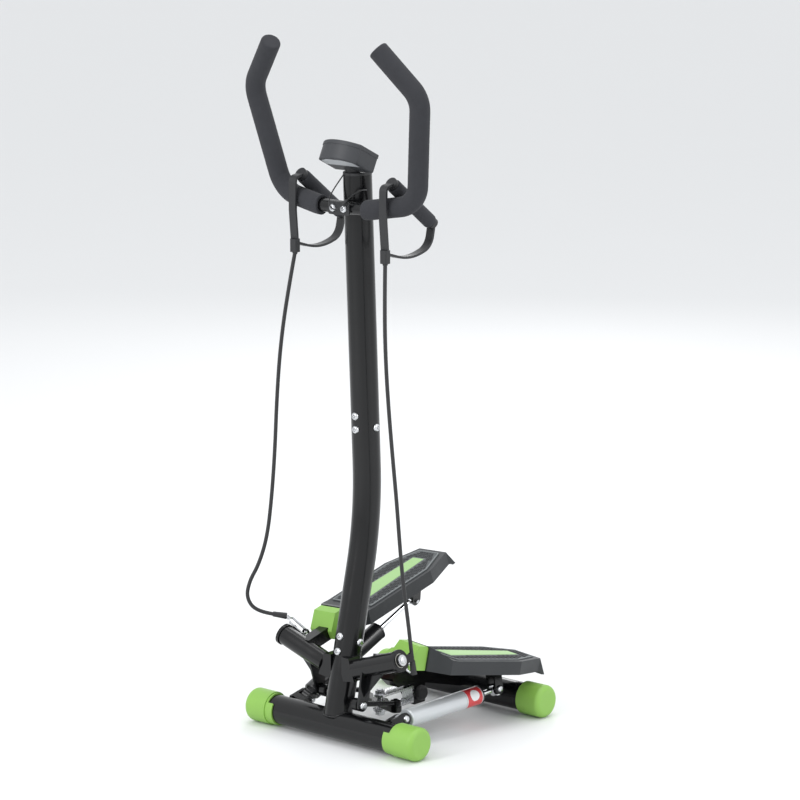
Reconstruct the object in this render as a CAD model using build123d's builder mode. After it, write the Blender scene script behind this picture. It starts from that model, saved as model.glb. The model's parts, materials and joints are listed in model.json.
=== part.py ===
from build123d import *
from math import cos, pi, radians, sin, tan
import os

# Twist mini-stepper. Millimetres, +X to the right, -Y towards the post, +Z up.
# Origin: on the floor under the centre of the base.
# Rest pose: right pedal down, left pedal up.

# ---------- driving dimensions ----------
BASE_WIDTH = 380.0
BAR_HALF_SPAN = 166.0
CAP_R = 28.7
CAP_LENGTH = 48.0
BAR_R = 24.5
WALL = 2.0
POST_R = 24.0
SPIGOT_R = POST_R - WALL - 0.1
LOWER_SEAM_Z = 187.0
MID_SEAM_Z = 508.7
POST_TOP_Z = 956.0
HANDLEBAR_R = 11.0
FOAM_R = 17.0
SLEEVE_R = 17.0
SLEEVE_LENGTH = 103.0
AXLE_R = 8.0
PEDAL_SWING = 27.5
BAND_R = 3.3
LEAD_R = 1.1
SWIVEL_GAP = 0.05

# ---------- reference points and directions ----------
FRONT = Vector(0, -BAR_HALF_SPAN, CAP_R)
REAR = Vector(0, BAR_HALF_SPAN, CAP_R)
POST_FOOT = Vector(0, -162, 45)
POST_BEND = Vector(0, -82.5, 378.2)
POST_TOP = Vector(0, -105, POST_TOP_Z)
LOWER_DIR = (POST_BEND - POST_FOOT).normalized()
UPPER_DIR = (POST_TOP - POST_BEND).normalized()
LOWER_FRONT = Vector(0, -LOWER_DIR.Z, LOWER_DIR.Y)
UPPER_FRONT = Vector(0, -UPPER_DIR.Z, UPPER_DIR.Y)
LOWER_BOLTS = (148, 173)
MID_BOLTS = (528, 551)
LOWER_SIDE_BOLT = 168
MID_SIDE_BOLT = 530
BOLT_HOLE_R = 4.2
PIVOT_TILT = 18.5
PIVOT_END = Vector(132.4, -153, 160.1)
PIVOT_DIR = Vector(cos(radians(PIVOT_TILT)), 0, sin(radians(PIVOT_TILT)))
PIVOT_AXIS = Axis(PIVOT_END, PIVOT_DIR)
PEDAL_ORIGIN = Vector(96.8, 50, 172.1)
PEDAL_ANGLES = (2.4, 3.1, -2.5)
LINK_BOLT = Vector(50, -153.3, 70.7)
ROCKER_CENTRE = Vector(0, -55, 42)
ROCKER_ARM = 50.0
ROCKER_ANGLE = 16.18
DAMPER_FOOT = Vector(108, -123, 47)
DAMPER_HEAD = Vector(101.6, 123, 113)
CONSOLE_TILT = 26.0
HANDLE_X = 100.0
GRIP_TOP = Vector(HANDLE_X, -129, 947.5)
GRIP_END = Vector(HANDLE_X, -38, 878.5)
EYE = Vector(105.5, -126, 160)
SIDES = {"right": 1, "left": -1}

os.makedirs("parts", exist_ok=True)


def save(part, name):
    part.label = name
    export_step(part, f"parts/{name}.step")


def post_y(z):
    """Y of the straight lower post's centre line at height z."""
    return POST_FOOT.Y + (z - POST_FOOT.Z) * LOWER_DIR.Y / LOWER_DIR.Z


def upper_y(z):
    """Y of the straight upper post's centre line at height z."""
    return POST_BEND.Y + (z - POST_BEND.Z) * UPPER_DIR.Y / UPPER_DIR.Z


def lower_at(z):
    return Vector(0, post_y(z), z)


def upper_at(z):
    return Vector(0, upper_y(z), z)


def group(*pieces):
    """Separate solids that share one node."""
    with BuildPart() as grouped:
        add([solid for piece in pieces for solid in piece.solids()])
    return grouped.part


def both(part):
    """A right-hand piece and its mirror image, as one node of two solids."""
    solid = part.solids().sort_by(SortBy.VOLUME)[-1]
    return group(solid, solid.mirror(Plane.YZ))


def handed(part, side):
    return part if side > 0 else part.mirror(Plane.YZ)


def pedal_pose(part, side):
    """From the level pose to the rest pose: the right pedal is down, the left one is up."""
    return handed(part.rotate(PIVOT_AXIS, -side * PEDAL_SWING / 2), side)


def swing(point, angle):
    return Vertex(*point).rotate(PIVOT_AXIS, angle).center()


def arc_radii(points):
    """0.45 of the shorter run, divided by the tangent of half the turn, at each inner point."""
    radii = []
    for a, b, c in zip(points, points[1:], points[2:]):
        run = min((b - a).length, (c - b).length)
        radii.append(0.45 * run / tan(radians((b - a).get_angle(c - b)) / 2))
    return radii


def cord_tube(points, radius, name):
    points = [Vector(*p) for p in points]
    radii = arc_radii(points)
    print(name, "arc radii", [round(r, 1) for r in radii])
    with BuildPart() as tube:
        with BuildLine() as route:
            FilletPolyline(*points, radius=radii)
        with BuildSketch(Plane(route.line @ 0, z_dir=route.line % 0)):
            Circle(radius)
        sweep()
    length = route.wires()[0].length
    print(name, "length", round(length, 1), "volume ratio",
          round(tube.part.volume / (length * pi * radius**2), 4))
    return tube.part


def rod(start, end, radius, bore=0.0):
    """A round bar or tube between two points."""
    direction = end - start
    with BuildPart() as bar:
        with BuildSketch(Plane(start, z_dir=direction)):
            Circle(radius)
            if bore:
                Circle(bore, mode=Mode.SUBTRACT)
        extrude(amount=direction.length)
    return bar.part


def dome_bolt(seat, direction, head_r=6.5, head_h=4.5, shank_r=4.0, shank_l=9.0):
    """A low domed head on its seat, with the shank behind it."""
    plane = Plane(seat, z_dir=direction)
    with BuildPart() as bolt:
        with BuildSketch(plane):
            Circle(head_r)
        extrude(amount=head_h)
        fillet(bolt.faces().sort_by(Axis(seat, direction))[-1].edges(), head_h * 0.8)
        with BuildSketch(plane):
            Circle(shank_r)
        extrude(amount=-shank_l)
    return bolt.part


def joint_holes(at, front, front_zs, side_z):
    """The drill path of one post joint: a front pair and one on each side."""
    drills = [rod(at(z), at(z) + front * 40, BOLT_HOLE_R) for z in front_zs]
    drills += [rod(at(side_z) - Vector(40, 0, 0), at(side_z) + Vector(40, 0, 0), BOLT_HOLE_R)]
    return drills


LOWER_HOLES = joint_holes(lower_at, LOWER_FRONT, LOWER_BOLTS, LOWER_SIDE_BOLT)
MID_HOLES = joint_holes(upper_at, UPPER_FRONT, MID_BOLTS, MID_SIDE_BOLT)

# ---------- base ----------
BAR_HALF = BASE_WIDTH / 2 - 8

for name, centre in (("front_crossbar", FRONT), ("rear_crossbar", REAR)):
    save(rod(centre - Vector(BAR_HALF, 0, 0), centre + Vector(BAR_HALF, 0, 0), BAR_R, BAR_R - WALL), name)


def end_cap(centre, stepped):
    """A moulded cap pushed over the tube; the front ones have a scalloped collar."""
    outer_x = BASE_WIDTH / 2
    plane = Plane(centre + Vector(outer_x, 0, 0), x_dir=(0, 1, 0), z_dir=(1, 0, 0))
    with BuildPart() as cap:
        with BuildSketch(plane):
            Circle(CAP_R)
        extrude(amount=-CAP_LENGTH)
        outer = cap.faces().sort_by(Axis.X)[-1]
        fillet(outer.edges(), 9)
        if stepped:
            with BuildSketch(plane.offset(-CAP_LENGTH)):
                Circle(CAP_R - 1.6)
            extrude(amount=-16)
            with BuildSketch(plane.offset(-CAP_LENGTH - 17)):
                with Locations((0, CAP_R)):
                    Ellipse(CAP_R * 0.95, CAP_R * 0.75)
            extrude(amount=13, mode=Mode.SUBTRACT)
        with BuildSketch(plane.offset(-8)):
            Circle(BAR_R)
        extrude(amount=-CAP_LENGTH - 20, mode=Mode.SUBTRACT)
    return cap.part


save(both(end_cap(FRONT, True)), "front_end_caps")
save(both(end_cap(REAR, False)), "rear_end_caps")

front_tube = rod(FRONT - Vector(BAR_HALF, 0, 0), FRONT + Vector(BAR_HALF, 0, 0), BAR_R)
rear_tube = rod(REAR - Vector(BAR_HALF, 0, 0), REAR + Vector(BAR_HALF, 0, 0), BAR_R)

post_core = rod(lower_at(20), lower_at(240), POST_R)

with BuildPart() as base_post:
    add(rod(lower_at(40), lower_at(LOWER_SEAM_Z), POST_R))
    add(front_tube, mode=Mode.SUBTRACT)
    add(rod(lower_at(60), lower_at(240), POST_R - WALL), mode=Mode.SUBTRACT)
    add(LOWER_HOLES, mode=Mode.SUBTRACT)
save(base_post.part, "base_post")

BEAM_FRONT = Vector(0, -126, 121)
BEAM_REAR = Vector(0, 160, 41)
with BuildPart() as center_beam:
    with BuildSketch(Plane(BEAM_FRONT, x_dir=(1, 0, 0), z_dir=BEAM_REAR - BEAM_FRONT)):
        Rectangle(30, 30)
        Rectangle(26, 26, mode=Mode.SUBTRACT)
    extrude(amount=(BEAM_REAR - BEAM_FRONT).length)
    add(post_core, mode=Mode.SUBTRACT)
    add(rear_tube, mode=Mode.SUBTRACT)
beam_piece = center_beam.part.solids().sort_by(SortBy.VOLUME)[-1]
save(beam_piece, "center_beam")

HANGER_FRONT_Y = 20.0
HANGER_REAR_Y = 48.0
HANGER_LOW_Z = 23.0
with BuildPart() as beam_envelope:
    with BuildSketch(Plane(BEAM_FRONT, x_dir=(1, 0, 0), z_dir=BEAM_REAR - BEAM_FRONT)):
        Rectangle(40, 30)
    extrude(amount=(BEAM_REAR - BEAM_FRONT).length)
with BuildPart() as hanger_box:
    with BuildSketch(Plane.YZ.offset(-13)):
        with BuildLine():
            Polyline((-36, 88), (-36, 76), (-22, 63), (HANGER_FRONT_Y, 63), (HANGER_FRONT_Y, HANGER_LOW_Z),
                     (HANGER_REAR_Y, HANGER_LOW_Z), (HANGER_REAR_Y, 64), close=True)
        make_face()
    extrude(amount=26)
    add(beam_envelope.part, mode=Mode.SUBTRACT)
    with BuildSketch(Plane.YZ.offset(-10)):
        with Locations((34, 38)):
            Rectangle(20, 50)
    extrude(amount=20, mode=Mode.SUBTRACT)
save(hanger_box.part.solids().sort_by(SortBy.VOLUME)[-1], "hanger_box")

with BuildPart() as bumper:
    with BuildSketch(Plane((13, 34, 42), x_dir=(0, 1, 0), z_dir=(1, 0, 0))):
        Circle(13)
    extrude(amount=10)
    fillet(bumper.faces().sort_by(Axis.X)[-1].edges(), 5)
save(both(bumper.part), "hanger_bumpers")

# ---------- post ----------
spine_points = [lower_at(LOWER_SEAM_Z - 50), POST_BEND, upper_at(MID_SEAM_Z + 52)]
with BuildPart() as lower_post_tube:
    with BuildLine() as spine:
        FilletPolyline(*spine_points, radius=640)
    with BuildSketch(Plane(spine.line @ 0, z_dir=spine.line % 0)):
        Circle(POST_R)
    sweep()
    for seam, away in ((lower_at(LOWER_SEAM_Z), -LOWER_DIR), (upper_at(MID_SEAM_Z), UPPER_DIR)):
        with BuildSketch(Plane(seam, z_dir=away)):
            Circle(POST_R + 5)
            Circle(SPIGOT_R, mode=Mode.SUBTRACT)
        extrude(amount=60, mode=Mode.SUBTRACT)
    with BuildLine():
        FilletPolyline(*spine_points, radius=640)
    with BuildSketch(Plane(spine.line @ 0, z_dir=spine.line % 0)):
        Circle(SPIGOT_R - WALL)
    sweep(mode=Mode.SUBTRACT)
    add(LOWER_HOLES, mode=Mode.SUBTRACT)
    add(MID_HOLES, mode=Mode.SUBTRACT)
save(lower_post_tube.part, "lower_post_tube")

bar_core = rod(Vector(-60, -138, 904), Vector(60, -138, 904), HANDLEBAR_R)
with BuildPart() as upper_post_tube:
    add(rod(upper_at(MID_SEAM_Z), POST_TOP, POST_R, POST_R - WALL))
    add(bar_core, mode=Mode.SUBTRACT)
    add(MID_HOLES, mode=Mode.SUBTRACT)
save(upper_post_tube.part, "upper_post_tube")

with BuildPart() as post_top_plug:
    with BuildSketch(Plane(POST_TOP, z_dir=UPPER_DIR)):
        Circle(POST_R)
    extrude(amount=5)
    fillet(post_top_plug.faces().sort_by(Axis.Z)[-1].edges(), 2)
    with BuildSketch(Plane(POST_TOP, z_dir=UPPER_DIR)):
        Circle(POST_R - WALL - 0.1)
    extrude(amount=-14)
save(post_top_plug.part, "post_top_plug")

# ---------- handlebar ----------
BAR_POINTS = [Vector(0, -138, 904), Vector(54, -138, 904), Vector(148, -125, 919),
              Vector(183, -158, 1096), Vector(119, -184, 1170)]
BAR_BENDS = [110, 46, 44]


def bar_sweep(points, bends, radius, bore):
    with BuildPart() as swept:
        with BuildLine() as route:
            FilletPolyline(*points, radius=bends)
        with BuildSketch(Plane(route.line @ 0, z_dir=route.line % 0)):
            Circle(radius)
            Circle(bore, mode=Mode.SUBTRACT)
        sweep()
    return swept.part


half_bar = bar_sweep(BAR_POINTS, BAR_BENDS, HANDLEBAR_R, HANDLEBAR_R - 1.8)
with BuildPart() as handlebar_tube:
    add(half_bar)
    add(half_bar.mirror(Plane.YZ))
save(handlebar_tube.part, "handlebar_tube")

TIP_DIR = (BAR_POINTS[-1] - BAR_POINTS[-2]).normalized()
with BuildPart() as foam_grip:
    add(bar_sweep(BAR_POINTS, BAR_BENDS, FOAM_R, HANDLEBAR_R))
    with BuildSketch(Plane(BAR_POINTS[-1], z_dir=TIP_DIR)):
        Circle(FOAM_R)
    extrude(amount=5)
    fillet(foam_grip.faces().sort_by(Axis(BAR_POINTS[-1], TIP_DIR))[-1].edges(), 3.5)
    split(bisect_by=Plane.YZ.offset(48), keep=Keep.TOP)
for name, side in SIDES.items():
    save(handed(foam_grip.part, side), f"{name}_foam_grip")

with BuildPart() as saddle_plate:
    with BuildSketch(Plane((0, -149, 904), x_dir=(1, 0, 0), z_dir=(0, -1, 0))):
        RectangleRounded(46, 22, 4)
    extrude(amount=3)
    with BuildSketch(Plane((0, -149, 904), x_dir=(1, 0, 0), z_dir=(0, -1, 0))):
        with GridLocations(24, 0, 2, 1):
            Circle(4.1)
    extrude(amount=3, mode=Mode.SUBTRACT)
save(saddle_plate.part, "saddle_plate")

# ---------- console ----------
CONSOLE_REAR = Vector(0, -98.4, 990)
FACE_NORMAL = Vector(0, sin(radians(CONSOLE_TILT)), cos(radians(CONSOLE_TILT)))
FACE = Plane(CONSOLE_REAR, x_dir=(-1, 0, 0), z_dir=FACE_NORMAL)
CONSOLE_W = 84.0
CONSOLE_SIDE = 47.0
CONSOLE_BULGE = 18.0
CONSOLE_DEPTH = 33.0
BEZEL_T = 7.0


def console_outline(inset):
    """Straight rear edge and sides, with the front edge as one arc."""
    half = CONSOLE_W / 2 - inset
    with BuildSketch() as outline:
        with BuildLine():
            Polyline((-half, CONSOLE_SIDE - inset), (-half, inset), (half, inset),
                     (half, CONSOLE_SIDE - inset))
            ThreePointArc((half, CONSOLE_SIDE - inset), (0, CONSOLE_SIDE + CONSOLE_BULGE - inset),
                          (-half, CONSOLE_SIDE - inset))
        make_face()
    return outline.sketch


with BuildPart() as console_case:
    with BuildSketch(FACE.offset(-BEZEL_T)):
        add(console_outline(0.6))
    extrude(amount=-(CONSOLE_DEPTH - BEZEL_T))
    fillet(console_case.edges().group_by(Axis(CONSOLE_REAR, FACE_NORMAL))[0], 3)
    with BuildSketch(FACE.offset(-BEZEL_T)):
        add(console_outline(3))
    extrude(amount=-(CONSOLE_DEPTH - BEZEL_T - 3), mode=Mode.SUBTRACT)
save(console_case.part, "console_case")

DISPLAY_AT = (0, 33)
BUTTON_AT = (0, 10)
BUTTON_TRAVEL = 1.2
with BuildPart() as console_bezel:
    with BuildSketch(FACE.offset(-BEZEL_T)):
        add(console_outline(0))
    extrude(amount=BEZEL_T)
    fillet(console_bezel.edges().group_by(Axis(CONSOLE_REAR, FACE_NORMAL))[-1], 2)
    with BuildSketch(FACE):
        with Locations(DISPLAY_AT):
            RectangleRounded(56, 26, 3)
    extrude(amount=-2, mode=Mode.SUBTRACT)
    with BuildSketch(FACE):
        with Locations(BUTTON_AT):
            SlotOverall(22, 10)
    extrude(amount=-BEZEL_T, mode=Mode.SUBTRACT)
save(console_bezel.part, "console_bezel")

with BuildPart() as display_lens:
    with BuildSketch(FACE.offset(-2)):
        with Locations(DISPLAY_AT):
            RectangleRounded(55.6, 25.6, 2.8)
    extrude(amount=1.5)
save(display_lens.part, "display_lens")

with BuildPart() as mode_button:
    with BuildSketch(FACE.offset(-4)):
        with Locations(BUTTON_AT):
            SlotOverall(21, 9)
    extrude(amount=6)
    fillet(mode_button.edges().group_by(Axis(CONSOLE_REAR, FACE_NORMAL))[-1], 1)
save(mode_button.part, "mode_button")

NECK_R = 15.5
NECK_FOOT = Vector(0, -106, POST_TOP_Z)
NECK_HEAD = Vector(0, -128, 990)
with BuildPart() as console_neck:
    add(rod(NECK_FOOT - Vector(0, -6, 9), NECK_HEAD, NECK_R))
    split(bisect_by=Plane(POST_TOP + UPPER_DIR * 5, z_dir=UPPER_DIR), keep=Keep.TOP)
    split(bisect_by=Plane(CONSOLE_REAR - FACE_NORMAL * CONSOLE_DEPTH, z_dir=FACE_NORMAL), keep=Keep.BOTTOM)
save(console_neck.part, "console_neck")

# ---------- bolts that stay on the frame ----------
DAMPER_DOWN = swing(DAMPER_HEAD, -PEDAL_SWING / 2)
DAMPER_UP = swing(DAMPER_HEAD, PEDAL_SWING / 2)
DAMPER_AXIS = (DAMPER_DOWN - DAMPER_FOOT).cross(DAMPER_UP - DAMPER_FOOT).normalized()
FORK_GAP = 8.0
FORK_T = 4.0

bolts = []
for z in LOWER_BOLTS:
    bolts += [dome_bolt(lower_at(z) + LOWER_FRONT * POST_R, LOWER_FRONT)]
for z in MID_BOLTS:
    bolts += [dome_bolt(upper_at(z) + UPPER_FRONT * POST_R, UPPER_FRONT)]
for side in SIDES.values():
    bolts += [dome_bolt(lower_at(LOWER_SIDE_BOLT) + Vector(side * POST_R, 0, 0), (side, 0, 0))]
    bolts += [dome_bolt(upper_at(MID_SIDE_BOLT) + Vector(side * POST_R, 0, 0), (side, 0, 0))]
    bolts += [dome_bolt(Vector(side * 12, -152, 904), (0, -1, 0), shank_l=2.9)]
fork_bolt = dome_bolt(DAMPER_FOOT + DAMPER_AXIS * (FORK_GAP + FORK_T), DAMPER_AXIS, 6.0, 4.0, 4.0,
                      2 * (FORK_GAP + FORK_T) + 5)
bolts += [fork_bolt, fork_bolt.mirror(Plane.YZ)]
save(group(*bolts), "frame_bolts")

# ---------- fixed pivots ----------
with BuildPart() as pivot_bracket:
    with BuildSketch(Plane.XZ.offset(138)):
        with BuildLine():
            Polyline((12, 147.5), (27.6, 146.9), (40.2, 108.9), (12, 105), close=True)
        make_face()
    extrude(amount=28)
    add(post_core, mode=Mode.SUBTRACT)
save(both(pivot_bracket.part), "pivot_brackets")

SLEEVE_INNER = PIVOT_END - PIVOT_DIR * SLEEVE_LENGTH
AXLE_INNER = PIVOT_END - PIVOT_DIR * (SLEEVE_LENGTH + 0.6)
axle = rod(AXLE_INNER, PIVOT_END + PIVOT_DIR * 1.0, AXLE_R)
save(both(axle), "pivot_axles")

with BuildPart() as eye_strap:
    strap_plane = Plane(PIVOT_END + PIVOT_DIR * 1.0, x_dir=(0, 1, 0), z_dir=PIVOT_DIR)
    with BuildSketch(strap_plane):
        Circle(11)
        with Locations((14.5, 0)):
            Rectangle(29, 14)
        Circle(4.1, mode=Mode.SUBTRACT)
    extrude(amount=3)
    with BuildSketch(Plane((0, EYE.Y - 1.5, 0), x_dir=(1, 0, 0), z_dir=(0, -1, 0))):
        with BuildLine():
            Polyline((132, 170), (137.8, 153.8), (EYE.X, 153.5), (EYE.X + 3, 158), (120, 160), close=True)
        make_face()
        with Locations((EYE.X, EYE.Z)):
            Circle(8.0)
            Circle(5.0, mode=Mode.SUBTRACT)
    extrude(amount=-3)
save(both(eye_strap.part), "eye_straps")

end_bolt = dome_bolt(PIVOT_END + PIVOT_DIR * 5.6, PIVOT_DIR, 6.0, 4.2, 4.0, 4.5)
washer = rod(PIVOT_END + PIVOT_DIR * 4.0, PIVOT_END + PIVOT_DIR * 5.6, 9.5, 4.1)
save(group(end_bolt, end_bolt.mirror(Plane.YZ), washer, washer.mirror(Plane.YZ)), "axle_end_bolts")

# ---------- lower damper forks ----------
with BuildPart() as damper_fork:
    for near in (FORK_GAP, -FORK_GAP - FORK_T):
        with BuildSketch(Plane(DAMPER_FOOT + DAMPER_AXIS * near, x_dir=(0, 1, 0.2), z_dir=DAMPER_AXIS)):
            Circle(10.5)
            with Locations((-16, 0)):
                Rectangle(32, 21)
            Circle(4.1, mode=Mode.SUBTRACT)
        extrude(amount=FORK_T)
    with BuildSketch(Plane(DAMPER_FOOT - DAMPER_AXIS * (FORK_GAP + FORK_T), x_dir=(0, 1, 0.2),
                           z_dir=DAMPER_AXIS)):
        with Locations((-21, 0)):
            Rectangle(14, 21)
    extrude(amount=2 * (FORK_GAP + FORK_T))
    add(front_tube, mode=Mode.SUBTRACT)
save(both(damper_fork.part), "damper_forks")

# ---------- rocker, its clevis and bolt ----------
CLEVIS_HALF_W = 12.0
CLEVIS_GAP = 11.0
CLEVIS_T = 4.0
with BuildPart() as rocker_clevis:
    with BuildSketch(Plane(ROCKER_CENTRE - Vector(0, 0, CLEVIS_GAP + CLEVIS_T))):
        Circle(CLEVIS_HALF_W)
        with Locations((0, 37.5)):
            Rectangle(2 * CLEVIS_HALF_W, 75)
    extrude(amount=2 * (CLEVIS_GAP + CLEVIS_T))
    with BuildSketch(Plane(ROCKER_CENTRE - Vector(0, 0, CLEVIS_GAP))):
        with Locations((0, 25)):
            Rectangle(60, 92)
    extrude(amount=2 * CLEVIS_GAP, mode=Mode.SUBTRACT)
    with Locations(ROCKER_CENTRE):
        Cylinder(5.1, 60, mode=Mode.SUBTRACT)
save(rocker_clevis.part, "rocker_clevis")

with BuildPart() as rocker_bolt:
    with Locations(ROCKER_CENTRE):
        Cylinder(5.0, 2 * (CLEVIS_GAP + CLEVIS_T) + 16)
    with BuildSketch(Plane(ROCKER_CENTRE + Vector(0, 0, CLEVIS_GAP + CLEVIS_T))):
        RegularPolygon(8.5, 6)
    extrude(amount=6)
    with BuildSketch(Plane(ROCKER_CENTRE - Vector(0, 0, CLEVIS_GAP + CLEVIS_T))):
        RegularPolygon(8.5, 6)
    extrude(amount=-6.5)
save(rocker_bolt.part, "rocker_bolt")

PIN_R = 4.0
PIN_HALF = 8.0
ROCKER_T = 9.0


def rocker_end(side):
    """The rocker's end at rest: the right one forward, the left one back."""
    angle = radians(-ROCKER_ANGLE)
    return ROCKER_CENTRE + Vector(side * ROCKER_ARM * cos(angle), side * ROCKER_ARM * sin(angle), 0)


with BuildPart() as rocker:
    with BuildSketch(Plane(ROCKER_CENTRE - Vector(0, 0, ROCKER_T / 2)).rotated((0, 0, -ROCKER_ANGLE))):
        SlotCenterToCenter(2 * ROCKER_ARM, 20)
        Circle(14)
        Circle(5.0 + SWIVEL_GAP, mode=Mode.SUBTRACT)
    extrude(amount=ROCKER_T)
    for side in SIDES.values():
        with BuildSketch(Plane(rocker_end(side) - Vector(0, 0, ROCKER_T / 2))):
            Circle(PIN_R)
        extrude(amount=ROCKER_T + 13)
save(rocker.part, "rocker")

# ---------- tie rods ----------
EYE_PLAY = 2.8
for name, side in SIDES.items():
    pin = rocker_end(side) + Vector(0, 0, ROCKER_T / 2 + 0.4)
    bolt = swing(LINK_BOLT, -side * PEDAL_SWING / 2)
    bolt = Vector(side * bolt.X, bolt.Y, bolt.Z)
    heading = (bolt - pin - Vector(0, 0, 5)).normalized()
    with BuildPart() as tie_rod:
        add(rod(pin + Vector(0, 0, 5) + heading * 7, bolt - heading * 8.5, 4.5))
        add(rod(pin, pin + Vector(0, 0, 10), 9.0))
        add(rod(bolt - Vector(5, 0, 0), bolt + Vector(5, 0, 0), 10.5))
        add(rod(pin - Vector(0, 0, 1), pin + Vector(0, 0, 11), PIN_R + SWIVEL_GAP), mode=Mode.SUBTRACT)
        add(rod(bolt - Vector(6, 0, 0), bolt + Vector(6, 0, 0), PIN_R + EYE_PLAY), mode=Mode.SUBTRACT)
    save(tie_rod.part, f"{name}_tie_rod")

# ---------- dampers ----------
DAMPER_R = 16.0
DAMPER_BODY = (12.0, 187.0)
ROD_R = 4.5
PISTON_AT = 28.0
HEAD_EYE_PLAY = 3.4
CLOSED_LENGTH = (DAMPER_DOWN - DAMPER_FOOT).length
for name, side in SIDES.items():
    head = DAMPER_DOWN if side > 0 else DAMPER_UP
    along = (head - DAMPER_FOOT).normalized()
    length = (head - DAMPER_FOOT).length
    station = [DAMPER_FOOT + along * s for s in DAMPER_BODY]
    with BuildPart() as damper_body:
        add(rod(station[0], station[1], DAMPER_R))
        fillet(damper_body.edges(), 2.5)
        add(rod(station[1] - along * 0.5, station[1] + along * 5, 9.0))
        with BuildSketch(Plane(DAMPER_FOOT, x_dir=along, z_dir=DAMPER_AXIS)):
            Circle(9.5)
            with Locations((7, 0)):
                Rectangle(14, 13)
            Circle(4.0 + SWIVEL_GAP, mode=Mode.SUBTRACT)
        extrude(amount=FORK_GAP - 1.0, both=True)
        add(rod(station[0] + along * 6, station[1] - along * 6, DAMPER_R - 2.2), mode=Mode.SUBTRACT)
        add(rod(station[1] - along * 10, station[1] + along * 8, ROD_R + 0.08), mode=Mode.SUBTRACT)
    save(handed(damper_body.part, side), f"{name}_damper_body")
    piston = DAMPER_FOOT + along * (PISTON_AT + length - CLOSED_LENGTH)
    with BuildPart() as damper_rod:
        add(rod(piston, head - along * 9, ROD_R))
        add(rod(piston, piston + along * 8, DAMPER_R - 2.8))
        with BuildSketch(Plane(head, x_dir=along, z_dir=DAMPER_AXIS)):
            Circle(10.8)
            Circle(3.5 + HEAD_EYE_PLAY, mode=Mode.SUBTRACT)
        extrude(amount=5.0, both=True)
    save(handed(damper_rod.part, side), f"{name}_damper_rod")

# ---------- pedals, built level and then swung to rest ----------
PEDAL = Plane(Location(tuple(PEDAL_ORIGIN), PEDAL_ANGLES))
PEDAL_SIDE = Plane(PEDAL.origin, x_dir=PEDAL.y_dir, z_dir=PEDAL.x_dir)
PLATE_W = 55.7
PLATE_REAR_W = 32.0
PLATE_KINK_Y = 72.0
PLATE_REAR_Y = 140.0
PLATE_FRONT_Y = -91.0
HOOD_Y = -120.0
HOOD_H = 17.4
SKIRT = 24.0
LIP_Y = 156.6
LIP_Z = -29.0
PLATE_T = 4.0
ARM = 22.0
ARM_X = -8.0


def plate_outline(inset):
    """The pedal's plan: straight sides, tapered to the rear and to the hood in front."""
    w = PLATE_W - inset
    rear_w = PLATE_REAR_W - inset
    with BuildSketch() as outline:
        with BuildLine():
            Polyline((-w, PLATE_FRONT_Y), (-32 + inset, HOOD_Y + inset), (26 - inset, HOOD_Y + inset),
                     (w, PLATE_FRONT_Y), (w, PLATE_KINK_Y), (rear_w, PLATE_REAR_Y - inset),
                     (rear_w, LIP_Y + 10), (-rear_w, LIP_Y + 10), (-rear_w, PLATE_REAR_Y - inset),
                     (-w, PLATE_KINK_Y), close=True)
        make_face()
    return outline.sketch


with BuildPart() as pedal_plate:
    with BuildSketch(PEDAL_SIDE.offset(-70)):
        with BuildLine():
            Polyline((HOOD_Y, -SKIRT), (HOOD_Y, HOOD_H), (PLATE_FRONT_Y, 1.5), (PLATE_FRONT_Y + 14, 0),
                     (PLATE_REAR_Y, 0), (LIP_Y, LIP_Z), (LIP_Y - 7, LIP_Z), (LIP_Y - 12, -SKIRT), close=True)
        make_face()
    extrude(amount=140)
    with BuildSketch(PEDAL.offset(-40)):
        add(plate_outline(0))
    extrude(amount=80, mode=Mode.INTERSECT)
    with BuildSketch(PEDAL.offset(-PLATE_T)):
        add(plate_outline(3.5))
        with Locations((0, LIP_Y)):
            Rectangle(200, 44, mode=Mode.SUBTRACT)
    extrude(amount=-40, mode=Mode.SUBTRACT)
    with BuildSketch(PEDAL.offset(-PLATE_T - 0.2)):
        with Locations((ARM_X, HOOD_Y)):
            Rectangle(ARM + 1, 40)
    extrude(amount=-40, mode=Mode.SUBTRACT)

TREAD_INSET = 8.0
with BuildPart() as tread:
    with BuildSketch(PEDAL):
        with BuildLine():
            w = PLATE_W - TREAD_INSET
            r = PLATE_REAR_W - TREAD_INSET
            Polyline((-w, PLATE_FRONT_Y + 16), (w, PLATE_FRONT_Y + 16), (w, PLATE_KINK_Y),
                     (r, PLATE_REAR_Y - TREAD_INSET), (-r, PLATE_REAR_Y - TREAD_INSET), (-w, PLATE_KINK_Y),
                     close=True)
        make_face()
    extrude(amount=1.4)
    fillet(tread.edges().filter_by(Axis(PEDAL.origin, PEDAL.z_dir)), 6)

COVER_X = (-29.0, 22.0)
with BuildPart() as toe_cover:
    with BuildSketch(PEDAL_SIDE.offset(COVER_X[0])):
        with BuildLine():
            Polyline((HOOD_Y, -SKIRT), (HOOD_Y, HOOD_H), (-141, HOOD_H + 0.2), (-160, -9), (-158, -SKIRT),
                     close=True)
        make_face()
    extrude(amount=COVER_X[1] - COVER_X[0])
    fillet(toe_cover.edges().filter_by(Axis(PEDAL.origin, PEDAL.x_dir)).sort_by(
        Axis(PEDAL.origin, PEDAL.z_dir))[-2:-1], 5)
    with BuildSketch(PEDAL_SIDE.offset(-54)):
        with BuildLine():
            Polyline((HOOD_Y, -SKIRT), (HOOD_Y, -2), (-133, -2), (-147, -12), (-147, -SKIRT), close=True)
        make_face()
    extrude(amount=25)
    with BuildSketch(PEDAL.offset(-SKIRT - 10)):
        with Locations((ARM_X, -140)):
            Rectangle(ARM + 2, 60)
    extrude(amount=SKIRT + 10 - PLATE_T, mode=Mode.SUBTRACT)

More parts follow.
